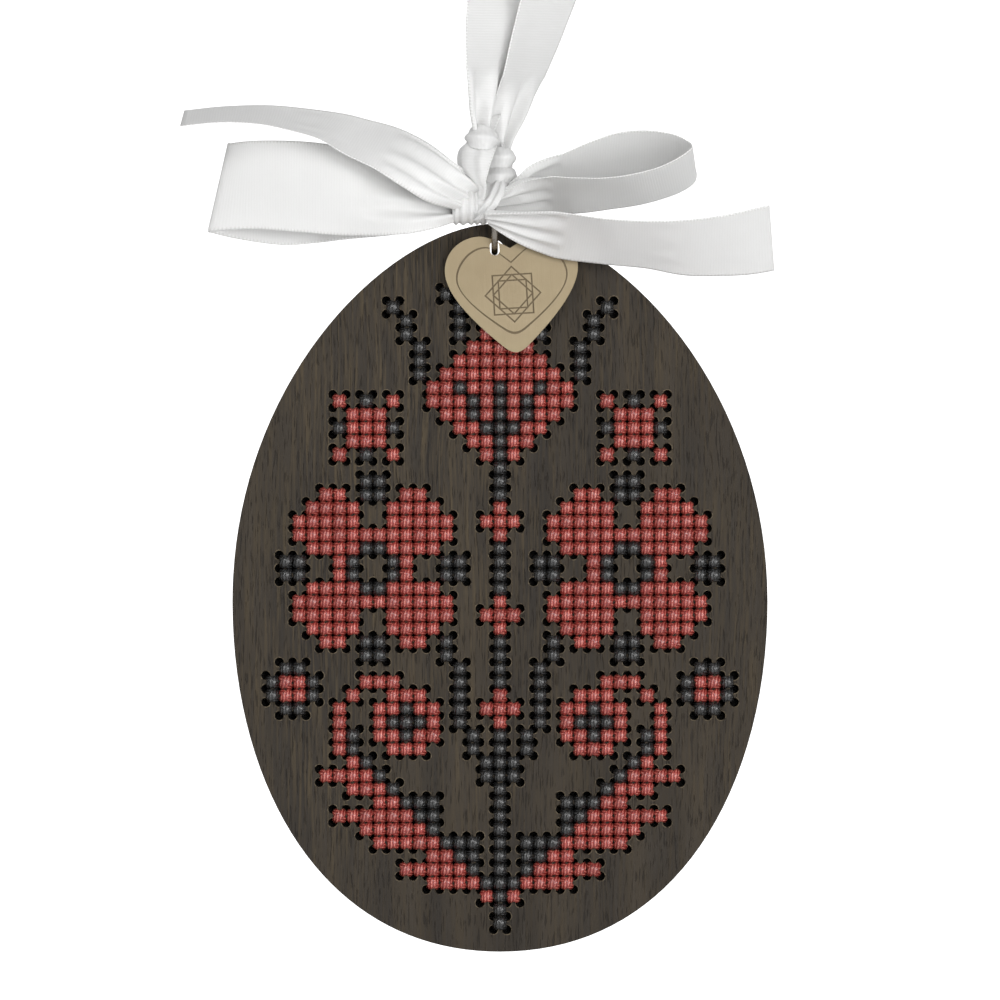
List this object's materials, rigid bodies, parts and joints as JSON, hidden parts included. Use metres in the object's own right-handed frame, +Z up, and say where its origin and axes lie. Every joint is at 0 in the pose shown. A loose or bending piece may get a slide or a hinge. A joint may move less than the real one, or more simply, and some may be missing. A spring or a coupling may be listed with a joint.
{
  "type": "pysanka decorated egg",
  "caption": "Flat perforated wooden egg cross-stitched with mirrored flowers, hung with a small heart tag on a jump ring from a tied ribbon bow and hanging loop.",
  "frame": {"origin": "inside of the hanging loop at its top, where a hook or pin bears", "axes": "+X to the right of the stitched face, +Y from the stitched face through the board to its back, +Z up"},
  "size_m": [0.0864, 0.0241, 0.1767],
  "materials": {
    "stained_plywood": "thin dark stain, matt, open grain",
    "backing_felt": "black wool felt, matt",
    "floss_red": "six-strand cotton floss, soft sheen",
    "floss_black": "six-strand cotton floss, soft sheen",
    "satin_ribbon": "white satin ribbon, woven edge",
    "tag_gold": "pale gold, engraved lines",
    "ring_metal": "plated wire, bright"
  },
  "bodies": {
    "ribbon": {"hang_loop": "satin_ribbon", "stop_knot": "satin_ribbon", "bow_knot": "satin_ribbon", "bow_loop_left": "satin_ribbon", "bow_loop_right": "satin_ribbon", "bow_tail_left": "satin_ribbon", "bow_tail_right": "satin_ribbon"},
    "ring": {"jump_ring": "ring_metal"},
    "egg": {"egg_board": "stained_plywood", "back_felt": "backing_felt", "thread_crown_flower_red": "floss_red", "thread_crown_flower_black": "floss_black", "thread_stem_diamond_top_red": "floss_red", "thread_stem_diamond_middle_red": "floss_red", "thread_stem_diamond_low_red": "floss_red", "thread_stem_black": "floss_black", "thread_ray_outer_black_left": "floss_black", "thread_ray_outer_black_right": "floss_black", "thread_ray_inner_black_left": "floss_black", "thread_ray_inner_black_right": "floss_black", "thread_star_red_left": "floss_red", "thread_star_red_right": "floss_red", "thread_star_black_left": "floss_black", "thread_star_black_right": "floss_black", "thread_rosette_red_left": "floss_red", "thread_rosette_red_right": "floss_red", "thread_rosette_black_left": "floss_black", "thread_rosette_black_right": "floss_black", "thread_small_flower_red_left": "floss_red", "thread_small_flower_red_right": "floss_red", "thread_small_flower_black_left": "floss_black", "thread_small_flower_black_right": "floss_black", "thread_branch_black_left": "floss_black", "thread_branch_black_right": "floss_black", "thread_scroll_red_left": "floss_red", "thread_scroll_red_right": "floss_red", "thread_scroll_eye_black_left": "floss_black", "thread_scroll_eye_black_right": "floss_black", "thread_leaf_red_left": "floss_red", "thread_leaf_red_right": "floss_red", "thread_leaf_black_left": "floss_black", "thread_leaf_black_right": "floss_black"},
    "tag": {"heart_tag": "tag_gold"}
  },
  "joints": [
    {"name": "ring_swing", "type": "hinge", "parent": "ribbon", "child": "ring", "pos_m": [-0.0008, -0.00095, -0.06489], "axis": [1, 0, 0], "range_deg": [-5, 20]},
    {"name": "egg_swing", "type": "hinge", "parent": "ring", "child": "egg", "pos_m": [-0.0008, 0, -0.07122], "axis": [0, 1, 0], "range_deg": [-12, 12]},
    {"name": "tag_swing", "type": "hinge", "parent": "ring", "child": "tag", "pos_m": [-0.0008, -0.003, -0.07111], "axis": [0, 1, 0], "range_deg": [-20, 20]}
  ]
}
